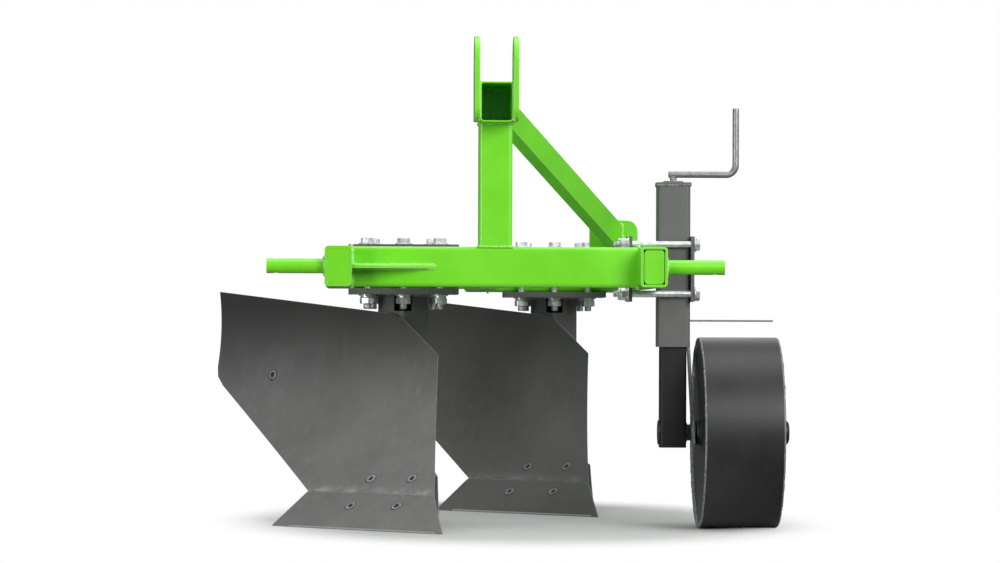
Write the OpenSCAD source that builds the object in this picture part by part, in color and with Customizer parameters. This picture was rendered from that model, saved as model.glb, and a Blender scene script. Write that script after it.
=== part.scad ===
// Two-furrow mounted plough on three-point hitch pins, with a screw-adjusted depth wheel.
// Millimetres, +Z up. Travel is towards -Y, the land side is +X, the boards throw to -X.
// The origin is on the floor, under the middle of the whole plough.

/* [Frame] */
// Width over the outer faces of the side rails, the span between the lower link shoulders
frame_w = 508; // [480:1:560]
// Width of a frame tube
tube_w = 40; // [30:1:50]
// Height of a frame tube
tube_h = 60; // [50:1:80]
// Wall of a frame tube
tube_wall = 4; // [3:0.5:6]
// Outer corner radius of a frame tube
tube_r = 6; // [4.5:0.5:8]
// Height of the underside of the frame above the floor
frame_z = 366; // [340:1:420]
// How far the side rails reach forward of the front beam
rail_nose = 45; // [35:1:60]
// Corner gusset, along the front beam
gusset_l = 128; // [90:1:160]
// Corner gusset, thickness
gusset_t = 6; // [4:0.5:10]
// How far the plugs sit back inside the open rail ends
plug_inset = 3; // [1:0.5:10]
// gap round the pushed-in plug
plug_gap = 0.8; // [0.2:0.1:0.9]
// Thickness of the end plugs
plug_t = 4; // [3:0.5:8]

/* [Hitch] */
// Diameter of the lower link pins
pin_d = 22; // [18:0.5:28]
// Length of a lower link pin outside the rail
pin_l = 86; // [70:1:110]
// Diameter of the linch pin hole
linch_d = 8; // [6:0.5:11]
// Linch pin hole, distance from the pin's end
linch_inset = 14; // [10:1:20]
// Diameter of the collar at the root of a pin
collar_d = 30; // [26:1:40]
// Length of that collar
collar_l = 3; // [2:0.5:6]
// Height of the top link hole above the lower link pins
mast_h = 305; // [280:1:340]
// Side of the mast tube
mast_w = 50; // [40:1:60]
// Height of the mast tube above the beam
mast_l = 184; // [150:1:220]
// Length of the head tube on the mast, front to back
head_l = 130; // [100:1:160]
// Height of the head tube
head_h = 60; // [40:1:70]
// Wall of the head tube
head_wall = 2.5; // [2:0.5:4]
// Reach of the head tube forward of the mast
head_nose = 42; // [20:1:60]
// Thickness of a clevis plate
clevis_t = 8; // [6:0.5:12]
// Width of a clevis plate, front to back
clevis_w = 76; // [60:1:90]
// Reach of the clevis plates forward of the head tube
clevis_nose = 8; // [0:1:20]
// Diameter of the top link hole
top_hole_d = 19.5; // [16:0.1:26]
// Height of the brace tube
brace_h = 40; // [30:1:50]
// Width of the brace tube
brace_w = 22; // [18:1:40]
// Wall of the brace tube
brace_wall = 3; // [2:0.5:4]
// Rear end of the brace, behind the front beam
brace_y = 540; // [480:1:600]
// Width of the brace lug
lug_w = 78; // [60:1:90]
// Height of the brace lug
lug_h = 54; // [44:1:70]
// Thickness of the brace lug
lug_t = 8; // [6:0.5:12]

/* [Plough bodies] */
// Sideways pitch of the two bodies, the working width of one furrow
pitch_x = 265; // [230:1:290]
// Pitch of the two bodies along the travel
pitch_y = 580; // [520:1:640]
// Angle of the share edge to the travel
sweep = 45; // [40:0.5:50]
// Angle of the share to the floor
rise = 38; // [32:0.5:44]
// Height of the joint of share and mouldboard
joint_z = 52; // [40:1:64]
// Radius of the mouldboard's curve
board_r = 330; // [290:1:400]
// Thickness of share and mouldboard
board_t = 6; // [5:0.5:10]
// Length of the share edge
share_l = 364; // [340:1:400]
// Length of the joint of share and mouldboard, from the point
joint_l = 352; // [320:1:380]
// Length of the mouldboard, from the point along the share edge
board_l = 683; // [640:1:740]
// Height of the tail's lower corner
tail_z = 224; // [180:1:240]
// rounding of the tail's lower corner
tail_r = 18; // [6:1:40]
// Height of the tail's upper corner
tail_top_z = 362; // [330:1:362]
// Height of the mouldboard's top edge at its shin side
shin_top_z = 328; // [300:1:340]
// Height of the shin's upper corner
shin_z = 263; // [230:1:290]
// Thickness of the frog plate and of the stay
frog_t = 8; // [6:0.5:12]
// Thickness of the frog's ribs
rib_t = 10; // [6:0.5:14]
// Leg tube, side across the board
leg_w = 60; // [50:1:80]
// Leg tube, side along the share edge
leg_d = 58; // [40:1:60]
// Leg tube, lower end above the floor
leg_z = 60; // [40:1:90]
// Leg centre, distance from the point along the share edge
leg_a = 315; // [300:1:340]
// Landside, height
land_h = 80; // [60:1:100]
// Landside, thickness
land_t = 8; // [6:0.5:12]
// Landside, distance of its heel behind the point
land_l = 420; // [360:1:470]
// Clamp plate, width across the travel
plate_w = 172; // [150:1:180]
// Clamp plate, length along the travel
plate_l = 112; // [96:1:130]
// Clamp plate, thickness
plate_t = 9; // [6:0.5:12]
// Diameter of the clamp bolt holes
plate_hole_d = 13; // [11:0.5:17]

/* [Depth wheel] */
// Wheel, diameter
wheel_d = 292; // [260:1:320]
// Wheel, width of the tread
wheel_w = 119; // [90:1:130]
// Wheel, thickness of tread and discs
wheel_t = 5; // [3:0.5:8]
// Inset of the wheel's discs behind the tread's edges
disc_inset = 3; // [1:0.5:10]
// Hub, diameter
hub_d = 40; // [34:1:50]
// Axle, diameter
axle_d = 25; // [20:0.5:28]
// Running clearance of the hub on the axle, on the radius
axle_gap = 0.05; // [0.02:0.01:0.1]
// thickness of the axle's collar on the wheel's inner side
collar_t = 3; // [2:0.5:10]
// end play of the hub on each side
end_gap = 1; // [0.5:0.1:3]
// length of the axle's end cap
nut_l = 9; // [6:0.5:14]
// Jack's outer tube, side
jack_w = 50; // [46:1:60]
// Jack's outer tube, wall
jack_wall = 4.5; // [3:0.5:5]
// Jack's outer tube, length
jack_l = 252; // [220:1:300]
// Jack's outer tube, top above the floor
jack_top = 529; // [500:1:560]
// Jack, distance of its middle behind the front beam
jack_y = 185; // [150:1:220]
// Play of the leg in the outer tube, on each side
leg_gap = 0.5; // [0.3:0.1:0.9]
// Wall of the wheel leg
wheel_leg_wall = 3; // [2:0.5:4]
// Wheel leg, end below the axle
leg_below = 23; // [14:1:30]
// Travel of the wheel leg upwards
travel = 90; // [60:1:95]
// Clamp plates of the jack, height
jaw_h = 100; // [90:1:120]
// Clamp plates of the jack, thickness
jaw_t = 5; // [4:0.5:8]
// Diameter of the jack's clamp bolt holes
jaw_hole_d = 10.5; // [8:0.5:13]
// Crank rod, diameter
rod_d = 10; // [8:0.5:14]
// Crank, reach
crank_r = 96; // [80:1:110]
// Crank, height of the grip above the arm
grip_l = 102; // [70:1:120]
// Guard bar, width
guard_w = 30; // [20:1:40]
// Guard bar, thickness
guard_t = 3; // [2:0.5:5]
// Guard bar, height of its upper arm above the floor
guard_z = 319; // [305:1:330]
// Guard bar, how far its top leans back
guard_back = 124; // [120:1:150]
// Gap between the jack's bolt heads' plane and the wheel
wheel_gap = 10; // [9:0.5:20]

/* [Hidden] */
$fn = 64;
// overrun of every cut
over = 1;
// a length beyond the whole plough, for cuts
far = 2000;
frame_top = frame_z + tube_h;
pin_z = frame_z + tube_h / 2;
rail_x = frame_w / 2 - tube_w / 2;
bay_w = frame_w / 2 - tube_w - tube_w / 2;
// the board's surface: a flat share, then an arc that starts tangent to it
joint_b = joint_z / tan(rise);
arc_b = joint_b - board_r * sin(rise);
arc_z = joint_z + board_r * cos(rise);
back_r = board_r + board_t;
frog_r = back_r + frog_t;
function front_b(z) = arc_b + sqrt(board_r * board_r - (arc_z - z) * (arc_z - z));
// X of a point of the surface from the point of the share
function sur_x(a, b) = b * cos(sweep) - a * sin(sweep);
function sur_y(a, b) = b * sin(sweep) + a * cos(sweep);
leg_b = arc_b + frog_r + leg_w / 2;
// leg centre from the share's point
leg_dx = sur_x(leg_a, leg_b);
leg_dy = sur_y(leg_a, leg_b);
// middle of the front clamp
front_x = -pitch_x / 2;
front_y = tube_w / 2 + leg_dy - rail_nose - tube_w * 3 / 8;
rear_x = front_x + pitch_x;
rear_y = front_y + pitch_y;
rail_end = rear_y + tube_w / 2;
furrow_end = front_y + tube_w / 2;
plate_bot = frame_z - plate_t;
// rows of clamp bolts, shares of half the plate's width
front_row_shares = [-0.66, 0, 0.66];
rear_row_shares = [-0.54, 0.54];
row_y = tube_w / 2 + plate_hole_d * 3 / 4;
// room for a clamp bolt's nut and washer
nut_room_d = plate_hole_d * 9 / 4;
nut_room_h = plate_hole_d * 2;
// head and clevis
head_z = frame_top + mast_l;
head_y = -head_nose;
top_z = pin_z + mast_h;
clevis_z = head_z + (head_h - mast_w) / 4;
clevis_y = head_y - clevis_nose;
hole_y = clevis_y + clevis_w / 2;
nose_pin_y = -rail_nose / 2;
// brace, its two ends in the middle of the tube
brace_from = [mast_w / 8, head_y + head_l, head_z + head_h / 2];
brace_to = [rail_x - lug_w * 2 / 7, brace_y, frame_top + lug_h / 2];
brace_run = brace_to - brace_from;
brace_flat = sqrt(brace_run[0] * brace_run[0] + brace_run[1] * brace_run[1]);
brace_turn = atan2(brace_run[1], brace_run[0]);
brace_dip = atan2(-brace_run[2], brace_flat);
brace_len = sqrt(brace_flat * brace_flat + brace_run[2] * brace_run[2]);
// depth wheel
axle_z = wheel_d / 2;
jack_x = frame_w / 2 + jack_w / 2;
leg_side = jack_w - 2 * jack_wall - 2 * leg_gap;
leg_face = jack_x + leg_side / 2;
jaw_face = frame_w / 2 + jack_w + jaw_t;
wheel_x = jaw_face + wheel_gap;
hub_over = disc_inset;
hub_l = wheel_w + 2 * hub_over;
axle_x2 = wheel_x + wheel_w + hub_over + end_gap + nut_l;
jaw_w = jack_w + jaw_hole_d * 5 / 2;
jaw_row = tube_h / 2 + jaw_hole_d * 3 / 4;
jaw_col = jack_w / 2 + jaw_hole_d * 5 / 8;
guard_x = frame_w / 2 + jack_w + jaw_t;
leg_top = jack_top - travel - jack_wall * 4;
// a point of the front view on the board's face, and one beyond it on the line from p to q
function face_pt(a, z) = [sur_x(a, front_b(z)), z];
function beyond(p, q, share) = q + (q - p) * share;

// corners of mouldboard and share in the front view, from the share's point
shin_pt = [-land_t * 10, shin_top_z];
joint_pt = [sur_x(joint_l, joint_b), joint_z];
wing_pt = [sur_x(share_l, 0), 0];
past_share = 0.2;
// the tail's lower corner, cut off in two short lines
tail_pt = face_pt(board_l, tail_z);
tail_in = tail_pt + (joint_pt - tail_pt) / norm(joint_pt - tail_pt) * tail_r;
tail_up = face_pt(board_l, tail_z + tail_r);
tail_mid = (tail_in + tail_up + 2 * tail_pt) / 4;
// extents, to put the origin under the middle
x_min = front_x - leg_dx + min(tail_up[0], tail_mid[0]);
x_max = axle_x2;
y_min = min(clevis_y, -rail_nose, front_y - leg_dy);
y_max = rear_y - leg_dy + sur_y(board_l, arc_b + back_r);
mid_x = (x_min + x_max) / 2;
mid_y = (y_min + y_max) / 2;
// angles of rise where the board, the frog and the stay begin and end
board_turn = 110;
frog_turn = rise + 24;
stay_low = 71;
stay_high = 79;
green = [0.36, 0.72, 0.10];
grey = [0.27, 0.28, 0.29];
steel = [0.62, 0.63, 0.65];

module place() translate([-mid_x, -mid_y, 0]) children();

// a bar with rounded long edges, along Z from the floor of its own frame
module bar(w, d, l, r) {
  translate([-w / 2, r - d / 2, 0]) cube([w, d - 2 * r, l]);
  translate([r - w / 2, -d / 2, 0]) cube([w - 2 * r, d, l]);
  for (x = [-1, 1], y = [-1, 1])
    translate([x * (w / 2 - r), y * (d / 2 - r), 0]) cylinder(r = r, h = l);
}

// a tube along Z: open at both ends
module tube(w, d, l, wall, r) difference() {
  bar(w, d, l, r);
  translate([wall - w / 2, wall - d / 2, -over]) cube([w - 2 * wall, d - 2 * wall, l + 2 * over]);
}

// a frame tube along Y from y0 to y1, its middle at x
module rail(x, y0, y1) translate([x, y0, pin_z]) rotate([-90, 0, 0])
  tube(tube_w, tube_h, y1 - y0, tube_wall, tube_r);

// a frame tube along X from x0 to x1, its middle at y
module cross(x0, x1, y) translate([x0, y, pin_z]) rotate([0, 90, 0]) rotate([0, 0, 90])
  tube(tube_w, tube_h, x1 - x0, tube_wall, tube_r);

module front_beam() color(green) place() cross(tube_w - frame_w / 2, frame_w / 2 - tube_w, tube_w / 2);
module furrow_rail() color(green) place() rail(-rail_x, -rail_nose, furrow_end);
module center_rail() color(green) place() rail(0, tube_w, rail_end);
module land_rail() color(green) place() rail(rail_x, -rail_nose, rail_end);
module front_cross() color(green) place() cross(-tube_w / 2 - bay_w, -tube_w / 2, front_y);
module rear_cross() color(green) place() cross(tube_w / 2, tube_w / 2 + bay_w, rear_y);

module corner_gusset() color(green) place() translate([tube_w - frame_w / 2, 0, pin_z - gusset_t / 2])
  linear_extrude(gusset_t) polygon([[0, 0], [0, tube_r - rail_nose], [gusset_l / 4, tube_r - rail_nose],
    [gusset_l, 0]]);

// end plugs: the furrow one is welded in flush, the land one is pushed in with rounded corners and a gap
module furrow_plug() color(green) place() translate([-rail_x, plug_t - rail_nose, pin_z]) rotate([90, 0, 0])
  translate([tube_wall - tube_w / 2, tube_wall - tube_h / 2, 0])
    cube([tube_w - 2 * tube_wall, tube_h - 2 * tube_wall, plug_t]);
module land_plug() color(green) place() translate([rail_x, plug_inset + plug_t - rail_nose, pin_z])
  rotate([90, 0, 0]) bar(tube_w - 2 * tube_wall - 2 * plug_gap, tube_h - 2 * tube_wall - 2 * plug_gap, plug_t,
    tube_r);

// a lower link pin along +X from the rail's face
module link_pin() difference() {
  union() {
    rotate([0, 90, 0]) cylinder(d = pin_d, h = pin_l);
    rotate([0, 90, 0]) cylinder(d1 = collar_d, d2 = pin_d, h = collar_l);
  }
  translate([pin_l - linch_inset, 0, -pin_d]) cylinder(d = linch_d, h = 2 * pin_d);
}
module land_link_pin() color(green) place() translate([frame_w / 2, nose_pin_y, pin_z]) link_pin();
module furrow_link_pin() color(green) place() translate([-frame_w / 2, nose_pin_y, pin_z])
  rotate([0, 0, 180]) link_pin();

module mast() color(green) place() translate([0, mast_w / 2, frame_top])
  tube(mast_w, mast_w, mast_l, tube_wall, tube_r);

// the head tube: open at the front, closed at the back
module mast_head() color(green) place() translate([0, head_y, head_z + head_h / 2]) rotate([-90, 0, 0])
  difference() {
    bar(mast_w, head_h, head_l, tube_r);
    translate([0, 0, -over])
      bar(mast_w - 2 * head_wall, head_h - 2 * head_wall, head_l - head_wall + over, tube_r - head_wall);
  }

// a clevis plate in the Y-Z plane, rounded over the hole and at its lower front corner
module clevis(x) translate([x, 0, 0]) difference() {
  union() {
    translate([0, clevis_y, clevis_z + clevis_w / 4])
      cube([clevis_t, clevis_w, top_z - clevis_z - clevis_w / 4]);
    translate([0, clevis_y + clevis_w / 4, clevis_z]) cube([clevis_t, clevis_w * 3 / 4, clevis_w / 4]);
    translate([0, clevis_y + clevis_w / 4, clevis_z + clevis_w / 4]) rotate([0, 90, 0])
      cylinder(d = clevis_w / 2, h = clevis_t);
    translate([0, hole_y, top_z]) rotate([0, 90, 0]) cylinder(d = clevis_w, h = clevis_t);
  }
  translate([-over, hole_y, top_z]) rotate([0, 90, 0]) cylinder(d = top_hole_d, h = clevis_t + 2 * over);
}
module furrow_clevis() color(green) place() clevis(-mast_w / 2 - clevis_t);
module land_clevis() color(green) place() clevis(mast_w / 2);

// the brace: a flat tube cut square to the travel at both ends
module brace() color(green) place() intersection() {
  translate(brace_from) rotate([0, 0, brace_turn]) rotate([0, brace_dip, 0]) rotate([0, 90, 0])
    translate([0, 0, -brace_h * 2]) difference() {
      translate([-brace_h / 2, -brace_w / 2, 0]) cube([brace_h, brace_w, brace_len + brace_h * 4]);
      translate([brace_wall - brace_h / 2, brace_wall - brace_w / 2, -over])
        cube([brace_h - 2 * brace_wall, brace_w - 2 * brace_wall, brace_len + brace_h * 4 + 2 * over]);
    }
  translate([-far, brace_from[1], 0]) cube([2 * far, brace_to[1] - brace_from[1], far]);
}

module brace_lug() color(green) place() translate([rail_x + tube_w * 3 / 8 - lug_w, brace_y, frame_top]) {
  cube([lug_w - lug_h / 3, lug_t, lug_h]);
  cube([lug_w, lug_t, lug_h * 2 / 3]);
  translate([lug_w - lug_h / 3, lug_t, lug_h * 2 / 3]) rotate([90, 0, 0])
    cylinder(r = lug_h / 3, h = lug_t);
}

// a clamp plate with its five bolt holes, centred, its underside at z
module clamp_plate(z) translate([0, 0, z]) difference() {
  translate([-plate_w / 2, -plate_l / 2, 0]) cube([plate_w, plate_l, plate_t]);
  for (s = front_row_shares) translate([s * plate_w / 2, -row_y, -over])
    cylinder(d = plate_hole_d, h = plate_t + 2 * over);
  for (s = rear_row_shares) translate([s * plate_w / 2, row_y, -over])
    cylinder(d = plate_hole_d, h = plate_t + 2 * over);
}

// the frame of one body: X across the board, Y along the share edge, from the share's point
module body_frame() translate([-leg_dx, -leg_dy, 0]) rotate([0, 0, sweep]) children();

// a profile across the board, drawn along the share edge from a0 to a1
module along(a0, a1) body_frame() translate([0, a1, 0]) rotate([90, 0, 0])
  linear_extrude(a1 - a0) children();

// a shape in the front view, drawn through the whole body
module through() translate([-leg_dx, far / 2 - leg_dy, 0]) rotate([90, 0, 0])
  linear_extrude(far) children();

// part of a ring about the board's centre of curvature, between two angles of rise
module ring_band(r0, r1, i0, i1) intersection() {
  translate([arc_b, arc_z]) difference() {
    circle(r = r1, $fn = 180);
    circle(r = r0, $fn = 180);
  }
  translate([arc_b, arc_z]) polygon([[0, 0], 2 * r1 * [sin(i0), -cos(i0)],
    2 * r1 * [sin((i0 + i1) / 2), -cos((i0 + i1) / 2)], 2 * r1 * [sin(i1), -cos(i1)]]);
}

// a flat strip behind the share, between two depths under its face, from height z0, run past the joint by up
module share_strip(t0, t1, z0, up) intersection() {
  polygon([[joint_b + t0 * sin(rise) + up * cos(rise), joint_z - t0 * cos(rise) + up * sin(rise)],
    [joint_b + t1 * sin(rise) + up * cos(rise), joint_z - t1 * cos(rise) + up * sin(rise)],
    [joint_b + t1 * sin(rise) - joint_b, joint_z - t1 * cos(rise) - joint_z],
    [joint_b + t0 * sin(rise) - joint_b, joint_z - t0 * cos(rise) - joint_z]]);
  translate([-joint_b, z0]) square([far, far]);
}

// outlines of mouldboard and share in the front view, from the share's point, run past the plates' ends
module board_outline() polygon([
  [-land_t * 3 / 2, 0], [-land_t / 4, shin_z], [-land_t * 7, shin_top_z - land_t], shin_pt,
  beyond(shin_pt, face_pt(board_l, tail_top_z), past_share),
  beyond(tail_mid, tail_up, past_share), tail_mid, tail_in,
  beyond(face_pt(board_l, tail_z), joint_pt, past_share), [wing_pt[0], 0]]);

module share_outline() polygon([[0, 0], [-land_t * 3 / 2, joint_z + board_t],
  beyond(wing_pt, joint_pt, board_t / joint_z), beyond(joint_pt, wing_pt, past_share)]);

module mouldboard() intersection() {
  along(0, board_l) ring_band(board_r, back_r, rise, board_turn);
  through() board_outline();
}
module share() intersection() {
  along(-far / 4, far / 2) share_strip(0, board_t, 0, 0);
  through() share_outline();
}
// frog: a plate behind share and board, and two ribs to the leg
module frog() intersection() {
  union() {
    along(leg_a - share_l * 5 / 8, leg_a + leg_d / 2) {
      share_strip(board_t, board_t + frog_t, joint_z / 6, 0);
      share_strip(board_t + frog_t / 4, board_t + frog_t / 2, joint_z / 6, frog_t);
      ring_band(back_r, frog_r, rise, frog_turn);
    }
    for (a = [leg_a - leg_d / 2, leg_a + leg_d / 2 - rib_t]) along(a, a + rib_t) {
      rib();
      ring_band(back_r + frog_t / 2, frog_r + over, rise, frog_turn);
    }
  }
  through() translate([-far / 2 - land_t * 3 / 2, 0]) square([far / 2, far]);
}
module rib() difference() {
  translate([joint_b, leg_z]) square([leg_b - leg_w / 2 - joint_b, arc_z - leg_z - frog_t]);
  translate([arc_b, arc_z]) circle(r = frog_r, $fn = 180);
}
module stay() along(leg_a - leg_d / 2, board_l * 6 / 7) ring_band(back_r, frog_r, stay_low, stay_high);
module landside() difference() {
  translate([-leg_dx - land_t * 3 / 2, -leg_dy, 0]) cube([land_t, land_l, land_h]);
  along(-far / 4, far / 2) {
    translate([arc_b, arc_z]) circle(r = frog_r, $fn = 180);
    polygon([[-far / 4, -land_t], [(board_t + frog_t) / sin(rise) - land_t / tan(rise), -land_t],
      [joint_b + (board_t + frog_t) * sin(rise), joint_z - (board_t + frog_t) * cos(rise)],
      [joint_b, joint_z], [-far / 4, joint_z]]);
  }
}
// the leg's front corner is cut away under the flange, for the middle bolt's nut
module leg() {
  clamp_plate(plate_bot);
  difference() {
    translate([0, 0, leg_z]) rotate([0, 0, sweep])
      tube(leg_w, leg_d, plate_bot - leg_z + over, tube_wall, tube_r);
    translate([0, -row_y, plate_bot - nut_room_h]) cylinder(d = nut_room_d, h = nut_room_h + 2 * over);
  }
}

module at_front() color(grey) place() translate([front_x, front_y, 0]) children();
module at_rear() color(grey) place() translate([rear_x, rear_y, 0]) children();
module front_top_plate() at_front() clamp_plate(frame_top);
module front_leg() at_front() leg();
module front_frog() at_front() frog();
module front_stay() at_front() stay();
module front_landside() at_front() landside();
module front_mouldboard() at_front() mouldboard();
module front_share() at_front() share();
module rear_top_plate() at_rear() clamp_plate(frame_top);
module rear_leg() at_rear() leg();
module rear_frog() at_rear() frog();
module rear_stay() at_rear() stay();
module rear_landside() at_rear() landside();
module rear_mouldboard() at_rear() mouldboard();
module rear_share() at_rear() share();

// the jack's outer tube, closed on top by a plate with the crank's bore
module jack_tube() color(grey) place() translate([jack_x, jack_y, jack_top - jack_l]) difference() {
  union() {
    tube(jack_w, jack_w, jack_l - jack_wall, jack_wall, tube_r);
    translate([-jack_w / 2 - over, -jack_w / 2 - over, jack_l - jack_wall])
      cube([jack_w + 2 * over, jack_w + 2 * over, jack_wall]);
  }
  translate([0, 0, jack_l - 2 * jack_wall]) cylinder(d = rod_d + 2 * leg_gap, h = 3 * jack_wall);
}

module jaw(x) translate([x, jack_y, pin_z]) difference() {
  translate([0, -jaw_w / 2, -jaw_h / 2]) cube([jaw_t, jaw_w, jaw_h]);
  for (y = [-1, 1], z = [-1, 1]) translate([-over, y * jaw_col, z * jaw_row]) rotate([0, 90, 0])
    cylinder(d = jaw_hole_d, h = jaw_t + 2 * over);
}
module jack_inner_jaw() color(grey) place() jaw(frame_w / 2 - tube_w - jaw_t);
module jack_outer_jaw() color(grey) place() jaw(frame_w / 2 + jack_w);

// the crank: spindle end, washer, arm with a bend, upright grip
bend_r = rod_d * 3 / 2;
module crank() color(steel) place() translate([jack_x, jack_y, jack_top]) {
  translate([0, 0, -2 * jack_wall]) cylinder(d = rod_d, h = 2 * jack_wall + rod_d * 5 / 4);
  cylinder(d = jack_w * 5 / 8, h = rod_d / 4);
  translate([0, 0, rod_d * 5 / 4]) {
    rotate([0, 90, 0]) translate([0, 0, -rod_d * 3 / 4])
      cylinder(d = rod_d, h = crank_r - bend_r + rod_d * 3 / 4);
    translate([crank_r - bend_r, 0, bend_r]) rotate([90, 0, 0]) rotate([0, 0, -90])
      rotate_extrude(angle = 90) translate([bend_r, 0]) circle(d = rod_d);
    translate([crank_r, 0, bend_r]) cylinder(d = rod_d, h = grip_l - bend_r);
  }
}

module wheel_leg() color(grey) place() translate([jack_x, jack_y, axle_z - leg_below])
  tube(leg_side, leg_side, leg_top - axle_z + leg_below, wheel_leg_wall, tube_r - jack_wall / 2);

module wheel_axle() color(grey) place() translate([leg_face, jack_y, axle_z]) rotate([0, 90, 0]) {
  cylinder(d = axle_d, h = axle_x2 - leg_face);
  translate([0, 0, wheel_x - hub_over - end_gap - collar_t - leg_face])
    cylinder(d = hub_d - wheel_t, h = collar_t);
  translate([0, 0, axle_x2 - nut_l - leg_face]) cylinder(d = hub_d, h = nut_l);
}

// the guard: a flat bar that leans back from the axle, with an arm over the wheel
module wheel_guard() color(grey) place() translate([guard_x, jack_y, axle_z]) difference() {
  union() {
    intersection() {
      rotate([-atan2(guard_back, guard_z - axle_z), 0, 0]) translate([0, -guard_w / 2, -guard_w])
        cube([guard_t, guard_w, far / 4]);
      translate([-far, -far, -far]) cube([2 * far, 2 * far, far + guard_z - axle_z]);
    }
    translate([0, guard_back - guard_w / 2, guard_z - axle_z - guard_t])
      cube([wheel_x + wheel_w + guard_w / 5 - guard_x, guard_w, guard_t]);
  }
  translate([-over, 0, 0]) rotate([0, 90, 0])
    cylinder(d = axle_d + 2 * axle_gap, h = guard_t + 2 * over);
}

module wheel() color(grey) place() translate([wheel_x, jack_y, axle_z]) rotate([0, 90, 0]) difference() {
  union() {
    difference() {
      cylinder(d = wheel_d, h = wheel_w, $fn = 128);
      translate([0, 0, -over]) cylinder(d = wheel_d - 2 * wheel_t, h = wheel_w + 2 * over, $fn = 128);
    }
    translate([0, 0, disc_inset]) cylinder(d = wheel_d - wheel_t, h = wheel_t, $fn = 128);
    translate([0, 0, wheel_w - disc_inset - wheel_t])
      cylinder(d = wheel_d - wheel_t, h = wheel_t, $fn = 128);
    translate([0, 0, -hub_over]) cylinder(d = hub_d, h = hub_l);
  }
  translate([0, 0, -hub_over - over]) cylinder(r = axle_d / 2 + axle_gap, h = hub_l + 2 * over);
}

front_beam();
furrow_rail();
center_rail();
land_rail();
front_cross();
rear_cross();
corner_gusset();
furrow_plug();
land_plug();
furrow_link_pin();
land_link_pin();
mast();
mast_head();
furrow_clevis();
land_clevis();
brace();
brace_lug();
front_top_plate();
front_leg();
front_frog();
front_stay();
front_landside();
front_mouldboard();
front_share();
rear_top_plate();
rear_leg();
rear_frog();
rear_stay();
rear_landside();
rear_mouldboard();
rear_share();
jack_tube();
jack_inner_jaw();
jack_outer_jaw();
crank();
wheel_leg();
wheel_axle();
wheel_guard();
wheel();
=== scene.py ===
import math

import bmesh
import bpy
from mathutils import Matrix, Quaternion, Vector, noise


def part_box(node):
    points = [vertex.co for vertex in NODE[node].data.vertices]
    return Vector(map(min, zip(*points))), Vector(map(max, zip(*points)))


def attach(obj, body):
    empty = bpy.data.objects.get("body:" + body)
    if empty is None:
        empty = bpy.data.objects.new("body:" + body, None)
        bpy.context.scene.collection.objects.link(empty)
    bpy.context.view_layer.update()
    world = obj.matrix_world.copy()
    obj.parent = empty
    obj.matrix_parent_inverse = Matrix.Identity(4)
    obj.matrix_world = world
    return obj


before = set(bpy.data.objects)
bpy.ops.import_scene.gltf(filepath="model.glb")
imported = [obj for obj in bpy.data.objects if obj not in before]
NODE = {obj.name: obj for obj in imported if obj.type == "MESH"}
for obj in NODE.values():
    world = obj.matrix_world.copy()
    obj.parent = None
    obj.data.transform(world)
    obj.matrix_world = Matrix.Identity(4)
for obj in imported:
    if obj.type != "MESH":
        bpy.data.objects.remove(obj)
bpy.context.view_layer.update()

bl_info = {
    "name": "Two-furrow mounted plough",
    "version": (1, 0, 0),
    "blender": (4, 5, 0),
    "location": "View3D > Sidebar > Plough",
    "description": "Finishes, bolts, weld beads and a studio for the plough's CAD frame",
    "category": "Object",
}

MM = 0.001
SIDES = ("front", "rear")
# CAD nodes by their finish.
GREEN = ("front_beam", "furrow_rail", "center_rail", "land_rail", "front_cross", "rear_cross", "corner_gusset",
         "land_plug", "furrow_link_pin", "land_link_pin", "mast", "furrow_clevis", "land_clevis", "brace",
         "brace_lug")
BODY_PARTS = ("top_plate", "leg", "frog", "stay", "landside")
GREY = tuple(f"{side}_{part}" for side in SIDES for part in BODY_PARTS) + (
    "jack_tube", "jack_inner_jaw", "jack_outer_jaw")
FRONT_BOARD = ("front_mouldboard", "front_share")
REAR_BOARD = ("rear_mouldboard", "rear_share")
WHEEL = ("wheel",)
SLIDE = ("wheel_leg",)
AXLE = ("wheel_axle",)
PLAIN_EDGE = ("furrow_plug", "mast_head")
ROD = ("crank", "wheel_guard")

# The plough's own zero: the mast's centre line, the front beam's front face and the floor.
LOW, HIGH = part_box("mast")
ZERO = Vector(((LOW.x + HIGH.x) / 2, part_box("front_beam")[0].y, 0))

# One plough body, in mm: the share's sweep and rise, the bend of the board and its joint with the share.
SWEEP, RISE = math.radians(45), math.radians(38)
BOARD_R, BOARD_T, FROG_T, JOINT_Z = 330, 6, 8, 52
# The centre of the board's bend, behind the share's edge and up, in mm.
ARC_B = JOINT_Z / math.tan(RISE) - BOARD_R * math.sin(RISE)
ARC_Z = JOINT_Z + BOARD_R * math.cos(RISE)
# A body's leg across and along the share's edge, and its ribs' thickness, in mm.
LEG_W, LEG_D, RIB_T = 60, 58, 10
# From a leg's front corner along its sides to the ends of the cut for the middle clamp bolt's nut, in mm.
NUT_CUT = 21
# The wheel's plate, its discs' inset from the rim, its hub and how far that stands out, in mm.
WHEEL_T, DISC_INSET, HUB_D, HUB_OVER = 5, 3, 40, 3
# The sleeves on the hub's ends reach in over them and stand off their sides, in mm.
SLEEVE_IN, SLEEVE_OFF = 2, 0.3
# The beads on the rim's edges: in from the rim's end, and out from the middle of its plate, in mm.
RIM_BEAD_IN, RIM_BEAD_OUT = 0.4, 0.3
# The pressed cap on the axle's outer end, and how far it stands out past the rim, in mm.
CAP_D, CAP_OVER = 37, 20
# The cap's round end: in from its side and back from its end, in mm.
CAP_ROUND = ((0, 5), (1, 2.4), (3, 0.8), (6, 0))
# The washer on the axle's inner end: its radius, its thickness to the chamfer and the chamfer, in mm.
END_WASHER_R, END_WASHER_T, END_CHAMFER = 19, 2.0, (1, 0.6)
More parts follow.
